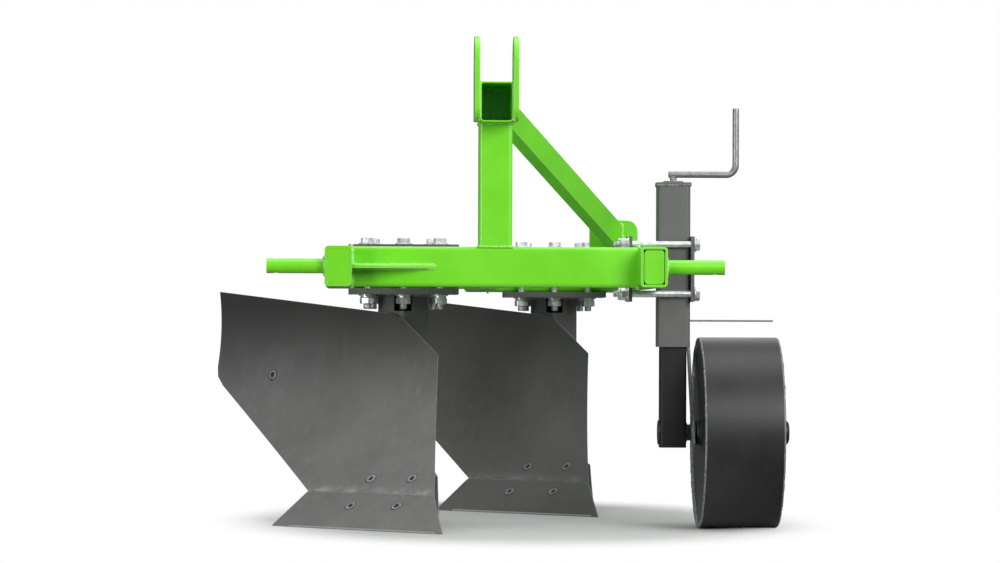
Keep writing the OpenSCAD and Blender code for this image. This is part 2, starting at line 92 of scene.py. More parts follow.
# Radius of the beads round the hitch pins and the axle, in mm.
PIN_BEAD_R = 13.2
# The ribs' beads start this far over the ribs' foot and stop this far under their top, in mm.
RIB_BEAD_FOOT, RIB_BEAD_TOP = 6, 8
# The bead under the jack's cap: in from the tube's sides and down from its top, in mm.
JACK_BEAD_IN, JACK_BEAD_DOWN = 1, 4.5

# Clamp bolts: rows from the plate's middle in mm, and the places (share of half its width, row).
CLAMP_ROW = 29.75
CLAMP_PLACES = ((-0.66, -1), (0, -1), (0.66, -1), (-0.54, 1), (0.54, 1))
# How far each clamp bolt is turned from showing three flats to the front, in radians.
CLAMP_TURNS = (0.22, -0.05, 0.12, -0.3, 0.4)
# The rear clamp's bolts stand on spacers this high, in mm.
REAR_SPACER = 6
# Jack bolts: along the rail and up from the jaws' middle, in mm, and the turn from one to the next, in radians.
JACK_COLUMN, JACK_ROW, JACK_TURN = 31.5625, 37.875, 0.4
# Spare thread below the nut in mm, and head and nut across flats as shares of the thread.
CLAMP_SPARE, CLAMP_WIDE = 8.0, (1.5, 1.7)
JACK_SPARE, JACK_WIDE = 7.0, (1.9, 1.8)
# Thickness of a bolt's washer, spring washer, head and nut, as shares of the thread.
WASHER_T, SPRING_T, HEAD_T, NUT_T = 0.2, 0.22, 0.64, 0.83
# A hexagon's width across flats, as a share of the circle that rounds its corners.
FLATS = 0.885
# Threads' pitch, as a share of the thread.
PITCH = 1 / 7
# Plough bolts: along the share's edge from its point and up, in mm.
BOARD_BOLTS = ((240, 73.5), (155, 76), (552, 229), (236, 33.5), (141, 36))
# A share's ground edge: its lower and upper line and its height off the face in mm, and its first and last step.
GROUND_Z, GROUND_OFF = (0.5, 2.4), 0.2
GROUND_FIRST, GROUND_LAST, GROUND_STEPS = 2, 36, 40
# A weld bead's rings and ripples along its path, as shares of its radius.
BEAD_STEP, BEAD_RIPPLE = 0.3, 0.9
# The brace: half its width and height, its start beside the head's middle and its end before the rail, in mm.
BRACE_HALF, BRACE_START, BRACE_END = (11, 20), 6.25, 2.3

# Vertices closer than this are one, in metres. Faces that turn less than the first angle are one flat, and edges
# that turn more than the second are softened.
JOIN, FLAT_ANGLE, EDGE_ANGLE = 0.00002, math.radians(0.4), math.radians(32)

# The camera from the plough's zero in mm, and its pan, tilt and roll in radians.
CAMERA_AT = (-222.7, -6338.5, 307.1)
PAN, TILT, ROLL = 0.0362, 0.0106, 0.0038
# Area lights by their strength's name, with place and size in metres, and the point that all of them face.
LIGHTS = (("key", (1.25, -2.4, 1.3), 1.1), ("top", (0.1, -0.2, 2.4), 1.6), ("fill", (-1.9, -2.3, 0.5), 1.0),
          ("side", (2.3, -0.8, 1.1), 1.2), ("back", (0.4, 2.8, 1.8), 1.6))
LIGHT_AIM = Vector((0, 0, 0.3))
# The floor: half its width and its drop under the shares, in metres.
FLOOR_HALF, FLOOR_DROP = 9, 0.0004
# It shows in an oval, a painted pool of shade round the plough: the oval's shift, its squeeze along each axis, and
# where it starts to fade and is gone.
OVAL_SHIFT, OVAL_SQUEEZE, OVAL_FADE = (-0.08, 0.15, 0.0), (1.8, 1.0, 1.0), (0.55, 0.9)


def middle(node):
    """The middle of a CAD node's box."""
    low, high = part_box(node)
    return (low + high) / 2


def hex_linear(code):
    """An sRGB hex colour as linear RGBA."""
    parts = [int(code[i:i + 2], 16) / 255 for i in (1, 3, 5)]
    return tuple(c / 12.92 if c <= 0.04045 else ((c + 0.055) / 1.055) ** 2.4 for c in parts) + (1.0,)


def add(tree, kind, inputs=None, **settings):
    """Adds one node with its settings, and its sockets' values or links."""
    new = tree.nodes.new("ShaderNode" + kind)
    for key, value in settings.items():
        setattr(new, key, value)
    for key, value in (inputs or {}).items():
        if isinstance(value, bpy.types.NodeSocket):
            tree.links.new(value, new.inputs[key])
        else:
            new.inputs[key].default_value = value
    return new


def start_material(name, shader):
    """A new material with one principled shader, whose sockets take the values given."""
    made = bpy.data.materials.new(name)
    made.use_nodes = True
    tree = made.node_tree
    tree.nodes.clear()
    surface = add(tree, "BsdfPrincipled", shader)
    add(tree, "OutputMaterial", {"Surface": surface.outputs[0]})
    return made, tree, surface


def per_metre(size_mm):
    """Texture scale for a pattern whose cells measure size_mm."""
    return 1000 / size_mm


# How many times longer than wide a wipe mark is, the size of a scuffed patch and the depth of a ripple, in mm.
WIPE_LENGTH, SCUFF_PATCH, RIPPLE_DEPTH = 14, 22, 0.6


def paint_over(name, colours, sizes, rough, peel, shader, fade=None, scuff=None):
    """A sprayed paint: clouded colour, upright wipe marks, slow changes of gloss and the spray's fine ripple.

    sizes are the cloud, the wipe mark's width and the ripple in mm. fade is (height from, height to, colour
    there) in mm. scuff, which needs a fade, is the same for a broken pale band that stops at its lower height.
    """
    made, tree, surface = start_material(name, shader)
    here = add(tree, "TexCoord").outputs["Object"]
    cloud = add(tree, "TexNoise", {"Vector": here, "Scale": per_metre(sizes[0]), "Detail": 5.0, "Roughness": 0.6})
    ramp = add(tree, "ValToRGB", {"Fac": cloud.outputs["Fac"]})
    for stop, place, code in zip(ramp.color_ramp.elements, (0.35, 0.66), colours):
        stop.position, stop.color = place, hex_linear(code)
    wide = per_metre(sizes[1])
    drawn = add(tree, "Mapping", {"Vector": here, "Scale": (wide, wide, wide / WIPE_LENGTH)})
    runs = add(tree, "TexNoise", {"Vector": drawn.outputs[0], "Scale": 1.0, "Detail": 4.0})
    mark = add(tree, "MapRange", {"Value": runs.outputs["Fac"], "From Min": 0.5, "From Max": 0.85, "To Max": 0.4})
    base = add(tree, "Mix", {"Factor": mark.outputs[0], 6: ramp.outputs[0], 7: hex_linear(colours[2])},
               data_type="RGBA").outputs[2]
    if fade:
        height = add(tree, "SeparateXYZ", {"Vector": here}).outputs["Z"]
        share = add(tree, "MapRange", {"Value": height, "From Min": fade[0] * MM, "From Max": fade[1] * MM},
                    interpolation_type="SMOOTHSTEP")
        base = add(tree, "Mix", {"Factor": share.outputs[0], 6: base, 7: hex_linear(fade[2])},
                   data_type="RGBA").outputs[2]
    if scuff:
        band = add(tree, "MapRange", {"Value": height, "From Min": scuff[0] * MM, "From Max": scuff[1] * MM,
                                      "To Min": 0.75, "To Max": 0.0})
        above = add(tree, "Math", {0: height, 1: (scuff[0] - 1) * MM}, operation="GREATER_THAN")
        worn = add(tree, "TexNoise", {"Vector": here, "Scale": per_metre(SCUFF_PATCH), "Detail": 6.0,
                                      "Roughness": 0.7})
        patch = add(tree, "MapRange", {"Value": worn.outputs["Fac"], "From Min": 0.42, "From Max": 0.62})
        both = add(tree, "Math", {0: band.outputs[0], 1: above.outputs[0]}, operation="MULTIPLY")
        part = add(tree, "Math", {0: both.outputs[0], 1: patch.outputs[0]}, operation="MULTIPLY")
        base = add(tree, "Mix", {"Factor": part.outputs[0], 6: base, 7: hex_linear(scuff[2])},
                   data_type="RGBA").outputs[2]
    gloss = add(tree, "MapRange", {"Value": cloud.outputs["Fac"], "From Min": 0.3, "From Max": 0.7,
                                   "To Min": rough[0], "To Max": rough[1]})
    grain = add(tree, "TexNoise", {"Vector": here, "Scale": per_metre(sizes[2]), "Detail": 2.0})
    bump = add(tree, "Bump", {"Height": grain.outputs["Fac"], "Strength": peel, "Distance": RIPPLE_DEPTH * MM})
    tree.links.new(base, surface.inputs["Base Color"])
    tree.links.new(gloss.outputs[0], surface.inputs["Roughness"])
    tree.links.new(bump.outputs[0], surface.inputs["Normal"])
    return made


def green_enamel_sprayed(code):
    """Alkyd enamel, sprayed: a deep, wet gloss with a faint orange peel, 3 mm from ripple to ripple."""
    return paint_over("green_enamel_sprayed", ("#6ED619", code, "#7EE22E"), (90, 14, 3), (0.30, 0.42), 0.05,
                      {"IOR": 1.5, "Coat Weight": 0.2, "Coat Roughness": 0.12})


def green_enamel_arris_highlight():
    """The same enamel on an arris, a paler line along every edge: partly paint drawn thin there, partly a painted
    highlight.
    """
    return paint_over("green_enamel_thin_on_arris", ("#8CDF4C", "#A2E86A", "#BDEF95"), (25, 6, 3), (0.3, 0.42),
                      0.05, {"IOR": 1.5, "Coat Weight": 0.2, "Coat Roughness": 0.12})


def green_weld_painted_highlight():
    """Enamel over an arc weld: lumpy and pale, with near-white spots that are painted highlights on the bead."""
    return paint_over("green_enamel_on_arc_weld", ("#7FD63A", "#B2EA80", "#F2FBE4"), (5, 3, 1.6), (0.34, 0.6),
                      0.35, {"IOR": 1.5, "Coat Weight": 0.2, "Coat Roughness": 0.2})


def grey_primer_sprayed(code):
    """Dark grey primer, sprayed on tube and plate: satin, slightly cloudy, with faint upright wipe marks."""
    return paint_over("grey_primer_sprayed", ("#595959", code, "#737373"), (120, 9, 1.4), (0.42, 0.56), 0.10,
                      {"IOR": 1.45})


def grey_primer_on_board(name, colours, high, scuffed):
    """The same primer on a rolled board and its share: darker high up, which is painted shade where the board's
    face turns down, and scuffed along their joint.
    """
    return paint_over(name, colours, (150, 11, 1.4), (0.44, 0.58), 0.10, {"IOR": 1.45}, (190, 350, high),
                      (54, 64, scuffed))


def grey_primer_on_wheel(code):
    """A darker coat on the wheel: satin, with the faint bands of the roller in the tread."""
    return paint_over("grey_primer_on_wheel", ("#1F1F1F", code, "#323232"), (70, 8, 1.6), (0.41, 0.49), 0.08,
                      {"IOR": 1.5})


def steel_tube_greased():
    """The wheel's dark paint on the leg in its jack, made nearly black and softly shining: a darker copy that
    paints the shade on the leg.
    """
    return paint_over("steel_tube_greased", ("#151515", "#1B1B1B", "#272727"), (60, 7, 1.5), (0.42, 0.56), 0.08,
                      {"IOR": 1.4})


def grey_primer_worn_and_highlit():
    """Grey primer on an edge, pale where the steel begins to show through: partly wear, partly a painted highlight
    along the edge.
    """
    return paint_over("grey_primer_rubbed_on_edge", ("#6C6D70", "#949598", "#D2D3D5"), (14, 5, 1.2), (0.34, 0.5),
                      0.12, {"IOR": 1.45})


def grey_primer_on_weld():
    """Thin primer over an arc weld: dark in the ripples, bare and bright on the crests."""
    return paint_over("grey_primer_on_arc_weld", ("#3F4042", "#8E8F92", "#F0F0F1"), (4, 2.6, 1.3), (0.3, 0.55),
                      0.4, {"IOR": 1.45})


def zinc_plated(name, rough, metallic):
    """Bright zinc plate over steel: cool, shining flats with a cloudy bloom, whiter where it is thicker.

    rough is the roughness where the bloom is thin; a lower metallic shows more of the white bloom.
    """
    made, tree, surface = start_material(name, {"Metallic": metallic})
    here = add(tree, "TexCoord").outputs["Object"]
    bloom = add(tree, "TexNoise", {"Vector": here, "Scale": per_metre(7), "Detail": 4.0})
    ramp = add(tree, "ValToRGB", {"Fac": bloom.outputs["Fac"]})
    for stop, place, code in zip(ramp.color_ramp.elements, (0.3, 0.7), ("#C9CDD1", "#F1F3F4")):
        stop.position, stop.color = place, hex_linear(code)
    gloss = add(tree, "MapRange", {"Value": bloom.outputs["Fac"], "To Min": rough, "To Max": rough + 0.18})
    tree.links.new(ramp.outputs[0], surface.inputs["Base Color"])
    tree.links.new(gloss.outputs[0], surface.inputs["Roughness"])
    return made


def share_steel_ground():
    """The share's cutting edge as ground in the shop: a bright bare line with fine cross scratches."""
    return paint_over("share_steel_ground", ("#A9AAAC", "#C6C7C9", "#E4E4E6"), (6, 1.2, 0.8), (0.3, 0.45), 0.15,
                      {"Metallic": 0.6})


def black_oxide_and_painted_shade():
    """Oil-blackened steel of axle and hub: nearly black, with a dull oily sheen; on the plough bolts the same dark
    is painted shade in their sockets and the gaps round their heads.
    """
    return paint_over("steel_black_oxide_oiled", ("#121213", "#1E1F20", "#2C2D2E"), (9, 4, 1.2), (0.4, 0.6), 0.1,
                      {"IOR": 1.5})


def hot_rolled_rod(code):
    """Hot rolled steel rod and strip, left plain: dull grey mill scale, brighter where handling has rubbed it."""
    made, tree, surface = start_material("steel_rod_hot_rolled", {"Metallic": 0.6})
    here = add(tree, "TexCoord").outputs["Object"]
    scale = add(tree, "TexNoise", {"Vector": here, "Scale": per_metre(11), "Detail": 6.0, "Roughness": 0.65})
    ramp = add(tree, "ValToRGB", {"Fac": scale.outputs["Fac"]})
    for stop, place, shade in zip(ramp.color_ramp.elements, (0.25, 0.8), ("#747578", code)):
        stop.position, stop.color = place, hex_linear(shade)
    gloss = add(tree, "MapRange", {"Value": scale.outputs["Fac"], "To Min": 0.5, "To Max": 0.3})
    grain = add(tree, "TexNoise", {"Vector": here, "Scale": per_metre(1.5), "Detail": 2.0})
    bump = add(tree, "Bump", {"Height": grain.outputs["Fac"], "Strength": 0.06, "Distance": 0.4 * MM})
    tree.links.new(ramp.outputs[0], surface.inputs["Base Color"])
    tree.links.new(gloss.outputs[0], surface.inputs["Roughness"])
    tree.links.new(bump.outputs[0], surface.inputs["Normal"])
    return made


def floor_vinyl(code):
    """Matt pale grey studio vinyl with a faint cloud in the tone and no edge, seen only in an oval that fades out
    into the white room: the grey oval is a painted pool of shade round the plough.
    """
    made, tree, surface = start_material("studio_floor_vinyl", {"Roughness": 0.85, "IOR": 1.3})
    here = add(tree, "TexCoord").outputs["Object"]
    cloud = add(tree, "TexNoise", {"Vector": here, "Scale": per_metre(900), "Detail": 2.0})
    ramp = add(tree, "ValToRGB", {"Fac": cloud.outputs["Fac"]})
    for stop, place, shade in zip(ramp.color_ramp.elements, (0.2, 0.8), ("#C6C6C6", code)):
        stop.position, stop.color = place, hex_linear(shade)
    oval = add(tree, "Mapping", {"Vector": here, "Location": OVAL_SHIFT, "Scale": OVAL_SQUEEZE})
    away = add(tree, "VectorMath", {0: oval.outputs[0]}, operation="LENGTH").outputs["Value"]
    left = add(tree, "MapRange", {"Value": away, "From Min": OVAL_FADE[0], "From Max": OVAL_FADE[1],
                                  "To Min": 1.0, "To Max": 0.0}, interpolation_type="SMOOTHSTEP")
    tree.links.new(ramp.outputs[0], surface.inputs["Base Color"])
    tree.links.new(left.outputs[0], surface.inputs["Alpha"])
    return made


def finish_of(name):
    """A material made earlier by the finishes operator."""
    found = bpy.data.materials.get(name)
    if found is None:
        raise RuntimeError(f"run the finishes first: {name} is missing")
    return found


def piece(name, bm, material, body, smooth=True):
    """Turns a bmesh into a piece that rides on a CAD body."""
    mesh = bpy.data.meshes.new(name)
    bmesh.ops.recalc_face_normals(bm, faces=bm.faces)
    bm.to_mesh(mesh)
    bm.free()
    for poly in mesh.polygons:
        poly.use_smooth = smooth
    made = bpy.data.objects.new(name, mesh)
    bpy.context.collection.objects.link(made)
    mesh.materials.append(finish_of(material))
    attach(made, body)
    return made


def turned(bm, profile, place, sides=28, flats=0):
    """Adds a lathe profile of (radius, height) pairs in mm; flats cuts it to a polygon across flats."""
    rings = []
    half = max(radius for radius, height in profile) * FLATS
    for radius, height in profile:
        ring = []
        for i in range(sides):
            turn = 2 * math.pi * i / sides
            reach = radius
            if flats:
                step = 2 * math.pi / flats
                off = (turn % step) - step / 2
                reach = min(radius, half / math.cos(off))
            ring.append(bm.verts.new(place @ Vector((reach * math.cos(turn), reach * math.sin(turn), height))))
        rings.append(ring)
    for low, high in zip(rings, rings[1:]):
        for i in range(sides):
            bm.faces.new((low[i], low[(i + 1) % sides], high[(i + 1) % sides], high[i]))
    bm.faces.new(list(reversed(rings[0])))
    bm.faces.new(rings[-1])


def aim(point, direction, turn=0.0):
    """A frame in mm at a point in metres, its Z along the direction."""
    look = Vector(direction).normalized().to_track_quat("Z", "Y").to_matrix().to_4x4()
    return Matrix.Translation(point) @ look @ Matrix.Rotation(turn, 4, "Z") @ Matrix.Scale(MM, 4)


def hex_profile(across, height):
    """A hexagon's lathe profile with both ends chamfered at thirty degrees."""
    corner, end = across / 2 / FLATS, across / 2 * 0.96
    drop = (corner - end) * math.tan(math.radians(30))
    return ((end, 0), (corner, drop), (corner, height - drop), (end, height))


def thread_profile(diameter, start, end, pitch):
    """A screw thread as close ridges, with a chamfered end."""
    outline, here = [(diameter / 2, start)], start
    while here + pitch < end - pitch:
        outline += [(diameter / 2 * 0.87, here + pitch / 2), (diameter / 2, here + pitch)]
        here += pitch
    return outline + [(diameter / 2 * 0.86, end - pitch / 3), (diameter / 2 * 0.74, end)]


def ring_profile(radius, thickness, chamfer):
    """A washer's or spacer's lathe profile: its outer radius, its thickness and (in, along) of both chamfers."""
    inside, along = radius - chamfer[0], chamfer[1]
    return ((inside, 0), (radius, along), (radius, thickness - along), (inside, thickness))


def hex_bolt(bm, head_at, direction, grip, d, spare, turn, wide, spacer=0.0):
    """A hexagon bolt from under its head: washer, shank through the grip, two washers, nut and spare thread.

    d is the thread's size in mm, and wide gives the head and the nut across flats as shares of it.
    """
    here = aim(head_at, direction, turn)
    if spacer:
        here, grip = here @ Matrix.Translation((0, 0, -spacer)), grip + spacer
        turned(bm, ring_profile(d * 0.84, spacer, (d * 0.04, 0.4)), here, 32)
    under_head = here @ Matrix.Translation((0, 0, -d * WASHER_T))
    turned(bm, hex_profile(d * wide[0], d * HEAD_T), under_head @ Matrix.Rotation(math.pi, 4, "X"), 36, 6)
    washer = ring_profile(d * 1.1, d * WASHER_T, (d * 0.05, d * 0.05))
    turned(bm, washer, under_head, 32)
    turned(bm, ((d / 2, -d * 0.3), (d / 2, grip + d * 0.3)), here, 20)
    turned(bm, washer, here @ Matrix.Translation((0, 0, grip)), 32)
    spring = ring_profile(d * 0.86, d * SPRING_T, (d * 0.04, d * 0.04))
    turned(bm, spring, here @ Matrix.Translation((0, 0, grip + d * WASHER_T)), 32)
    nut = grip + d * (WASHER_T + SPRING_T)
    turned(bm, hex_profile(d * wide[1], d * NUT_T), here @ Matrix.Translation((0, 0, nut)), 36, 6)
    turned(bm, thread_profile(d, grip + d * 0.5, nut + d * NUT_T + spare, d * PITCH), here, 20)


def bead(bm, path, radius, closed=False, seed=0.0):
    """A weld bead along a path in metres: overlapping ripples a little under a radius long, uneven in width."""
    corners = [Vector(p) for p in path] + ([Vector(path[0])] if closed else [])
    step = radius * BEAD_STEP * MM
    points = []
    for p, q in zip(corners, corners[1:]):
        count = max(2, int((q - p).length / step))
        points += [p.lerp(q, i / count) for i in range(count)]
    if not closed:
        points.append(corners[-1])
    sides, rings = 8, []
    count = len(points)
    for i, here in enumerate(points):
        along = points[(i + 1) % count] - points[i - 1] if closed or 0 < i < count - 1 else (
            points[1] - points[0] if i == 0 else points[-1] - points[-2])
        along.normalize()
        side = along.cross(Vector((0.31, 0.17, 0.93)))
        if side.length < 0.1:
            side = along.cross(Vector((0.9, 0.3, 0.1)))
        side.normalize()
        up = along.cross(side)
        ripple = (i * BEAD_STEP / BEAD_RIPPLE) % 1.0
        swell = 0.86 + 0.2 * (1 - ripple) + 0.22 * noise.noise(here * 160 + Vector((seed, 0, 0)))
        if not closed:
            swell *= min(1.0, 0.45 + 0.2 * min(i, count - 1 - i))
        drift = 0.22 * noise.noise(here * 90 + Vector((0, seed, 5)))
        centre = here + side * drift * radius * MM
        ring = []
        for j in range(sides):
            turn = 2 * math.pi * j / sides
            out = side * math.cos(turn) + up * math.sin(turn)
            ring.append(bm.verts.new(centre + out * radius * swell * MM))
        rings.append(ring)
    pairs = list(zip(rings, rings[1:])) + ([(rings[-1], rings[0])] if closed else [])
    for low, high in pairs:
        for j in range(sides):
            bm.faces.new((low[j], low[(j + 1) % sides], high[(j + 1) % sides], high[j]))
    if not closed:
        bm.faces.new(list(reversed(rings[0])))
        bm.faces.new(rings[-1])


def circle(centre, across, up, radius, count=48):
    """Points of a circle in metres, radius in mm."""
    u, v = Vector(across).normalized(), Vector(up).normalized()
    return [centre + (u * math.cos(2 * math.pi * i / count) + v * math.sin(2 * math.pi * i / count)) * radius * MM
            for i in range(count)]


def loop_round(low, high, axis, at):
    """The four corners of a box's section square to an axis, at one place along it."""
    u, v = [k for k in range(3) if k != axis]
    corners = []
    for first, second in ((low[u], low[v]), (high[u], low[v]), (high[u], high[v]), (low[u], high[v])):
        corner = Vector((at, at, at))
        corner[u], corner[v] = first, second
        corners.append(corner)
    return corners


def share_point(side):
    """The point of a body's share."""
    low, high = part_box(f"{side}_share")
    return Vector((high.x, low.y, 0))


def on_board(side, a, z, depth=0.0):
    """A point on a body's working face, a mm along the share edge and z mm up, and the face's normal there."""
    if z < JOINT_Z:
        b, normal = z / math.tan(RISE), Vector((-math.sin(RISE), math.cos(RISE)))
    else:
        b = ARC_B + math.sqrt(BOARD_R ** 2 - (ARC_Z - z) ** 2)
        normal = Vector((ARC_B - b, ARC_Z - z)) / BOARD_R
    b, z = b - normal.x * depth, z - normal.y * depth
    cos, sin = math.cos(SWEEP), math.sin(SWEEP)
    point = share_point(side) + Vector((b * cos - a * sin, b * sin + a * cos, z)) * MM
    return point, Vector((normal.x * cos, normal.x * sin, normal.y))


class PloughFinish(bpy.types.PropertyGroup):
    """Colours of the finishes."""
    enamel: bpy.props.StringProperty(name="Enamel", description="Green of the frame, as sRGB hex",
                                     default="#78E01F")
    primer: bpy.props.StringProperty(name="Primer", description="Grey of legs and jack, as sRGB hex",
                                     default="#686767")
    board: bpy.props.StringProperty(name="Front board", default="#797878",
                                    description="Grey of the front share and board, as sRGB hex")
    # The rear board's grey is a darker copy of the front board's: painted shade on the rear body.
    rear_board: bpy.props.StringProperty(name="Rear board", default="#646363",
                                         description="Grey of the rear share and board, as sRGB hex")
    tread: bpy.props.StringProperty(name="Wheel", description="Grey of the wheel, as sRGB hex", default="#272727")
    rod: bpy.props.StringProperty(name="Rod", description="Bright side of the plain steel, as sRGB hex",
                                  default="#A4A5A8")
    floor: bpy.props.StringProperty(name="Floor", description="Floor, as sRGB hex", default="#CFCFCF")
    edge: bpy.props.FloatProperty(name="Edge", description="Width of the soft arris on every steel edge",
                                  default=0.0011, min=0.0002, max=0.003, unit="LENGTH", precision=4)


class PloughFasteners(bpy.types.PropertyGroup):
    """Sizes of bolts and weld beads."""
    clamp_bolt: bpy.props.FloatProperty(name="Clamp bolt", description="Thread of the clamp plates' bolts",
                                        default=0.012, min=0.006, max=0.0128, unit="LENGTH", precision=4)
    jack_bolt: bpy.props.FloatProperty(name="Jack bolt", description="Thread of the depth jack's long bolts",
                                       default=0.010, min=0.006, max=0.0103, unit="LENGTH", precision=4)
    board_bolt: bpy.props.FloatProperty(name="Board bolt", description="Thread of the countersunk plough bolts",
                                        default=0.010, min=0.006, max=0.012, unit="LENGTH", precision=4)
    bead: bpy.props.FloatProperty(name="Weld bead", description="Half the width of a frame weld",
                                  default=0.0032, min=0.001, max=0.005, unit="LENGTH", precision=4)


class PloughStudio(bpy.types.PropertyGroup):
    """Camera and light."""
    focal: bpy.props.FloatProperty(name="Focal length", description="In pixels of a picture 1000 wide",
                                   default=4261, min=500, max=9000)
    key: bpy.props.FloatProperty(name="Key light", description="Strength of the large front light",
                                 default=40, min=0, unit="POWER")
    top: bpy.props.FloatProperty(name="Top light", description="Strength of the overhead light",
                                 default=24, min=0, unit="POWER")
    fill: bpy.props.FloatProperty(name="Fill light", description="Strength of the low light in under the frame",
                                  default=28, min=0, unit="POWER")
    side: bpy.props.FloatProperty(name="Side light", description="Strength of the light on the wheel's side",
                                  default=12, min=0, unit="POWER")
    back: bpy.props.FloatProperty(name="Back light", description="Strength of the weak light from behind",
                                  default=14, min=0, unit="POWER")
    surround: bpy.props.FloatProperty(name="Surround", description="Strength of the white room",
                                      default=0.31, min=0)


class PLOUGH_OT_finishes(bpy.types.Operator):
    """Makes the finishes, puts them on the CAD nodes and softens every edge"""
    bl_idname = "plough.finishes"
    bl_label = "Finish the steel"

    def execute(self, context):
        finish = context.scene.plough_finish
        enamel, thin = green_enamel_sprayed(finish.enamel), green_enamel_arris_highlight()
        primer, rubbed = grey_primer_sprayed(finish.primer), grey_primer_worn_and_highlit()
        # both boards darken from 190 to 350 mm up: painted shade where the board's face turns down
        board = grey_primer_on_board("grey_primer_on_front_board", ("#696868", finish.board, "#898888"),
                                     "#403F3F", "#A3A2A1")
        # the rear body's copy of the board primer is darker all over: painted shade on the rear body
        rear_board = grey_primer_on_board("grey_primer_on_rear_board", ("#575656", finish.rear_board, "#727171"),
                                          "#4C4B4B", "#868584")
        tread = grey_primer_on_wheel(finish.tread)
        rod, black = hot_rolled_rod(finish.rod), black_oxide_and_painted_shade()
        green_weld_painted_highlight()
        grey_primer_on_weld()
        share_steel_ground()
        zinc_plated("zinc_plated_steel_turned", 0.24, 0.75)
        # a paler, less metallic copy of the zinc: painted light on the clamp bolts' heads
        zinc_plated("zinc_plated_steel_tumbled", 0.3, 0.3)
        for names, face, arris in ((GREEN, enamel, thin), (GREY, primer, rubbed), (FRONT_BOARD, board, rubbed),
                                   (REAR_BOARD, rear_board, rubbed), (WHEEL, tread, rubbed),
                                   # the wheel leg's face takes a darker copy of the wheel's paint: painted shade
                                   (SLIDE, steel_tube_greased(), tread), (ROD, rod, rod), (AXLE, black, black),
                                   (PLAIN_EDGE, enamel, enamel)):
            for name in names:
                steel = NODE[name]
                steel.data.materials.clear()
                steel.data.materials.append(face)
                steel.data.materials.append(arris)
                weld = steel.modifiers.new("join", "WELD")
                weld.merge_threshold = JOIN
                flat = steel.modifiers.new("flats", "DECIMATE")
                flat.decimate_type, flat.angle_limit = "DISSOLVE", FLAT_ANGLE
                soft = steel.modifiers.new("soft_edge", "BEVEL")
                soft.width, soft.segments, soft.limit_method = finish.edge, 2, "ANGLE"
                soft.angle_limit, soft.material, soft.harden_normals = EDGE_ANGLE, 1, False
                shade = steel.modifiers.new("shade", "WEIGHTED_NORMAL")
                shade.keep_sharp = False
        return {"FINISHED"}


class PLOUGH_OT_clamp_bolts(bpy.types.Operator):
    """Five zinc bolts through each pair of clamp plates"""
    bl_idname = "plough.clamp_bolts"
    bl_label = "Clamp bolts"

    def execute(self, context):
        size = context.scene.plough_fasteners.clamp_bolt / MM
        for side in SIDES:
            low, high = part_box(f"{side}_top_plate")
            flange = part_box(f"{side}_leg")[1].z - (high.z - low.z)
            centre, wide = (low + high) / 2, (high.x - low.x) / 2
            grip = (high.z - flange) / MM
            spacer = REAR_SPACER if side == "rear" else 0.0
            for i, (share, row) in enumerate(CLAMP_PLACES):
                bm = bmesh.new()
                head_at = Vector((centre.x + share * wide, centre.y + row * CLAMP_ROW * MM, high.z))
                hex_bolt(bm, head_at, (0, 0, -1), grip, size, CLAMP_SPARE, CLAMP_TURNS[i], CLAMP_WIDE, spacer)
                bolt = piece(f"{side}_clamp_bolt_{i + 1}", bm, "zinc_plated_steel_tumbled", "frame",
                             False)
                # the heads above the top plate keep the paler, less metallic zinc, which paints their light; below
                # it, shank and nut are turned bright
                bolt.data.materials.append(finish_of("zinc_plated_steel_turned"))
                for face in bolt.data.polygons:
                    face.material_index = int(face.center.z < low.z)
        return {"FINISHED"}


class PLOUGH_OT_jack_bolts(bpy.types.Operator):
    """Four long zinc bolts that clamp the depth jack to the land rail"""
    bl_idname = "plough.jack_bolts"
    bl_label = "Jack bolts"

    def execute(self, context):
        size = context.scene.plough_fasteners.jack_bolt / MM
        low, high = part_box("jack_outer_jaw")
        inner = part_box("jack_inner_jaw")[0].x
        centre = (low + high) / 2
        grip = (high.x - inner) / MM
        for i, (y, z) in enumerate(((-1, 1), (-1, -1), (1, 1), (1, -1))):
            bm = bmesh.new()
            head_at = Vector((high.x, centre.y + y * JACK_COLUMN * MM, centre.z + z * JACK_ROW * MM))
            hex_bolt(bm, head_at, (-1, 0, 0), grip, size, JACK_SPARE, JACK_TURN * i, JACK_WIDE)
            piece(f"jack_bolt_{i + 1}", bm, "zinc_plated_steel_turned", "frame", False)
        return {"FINISHED"}


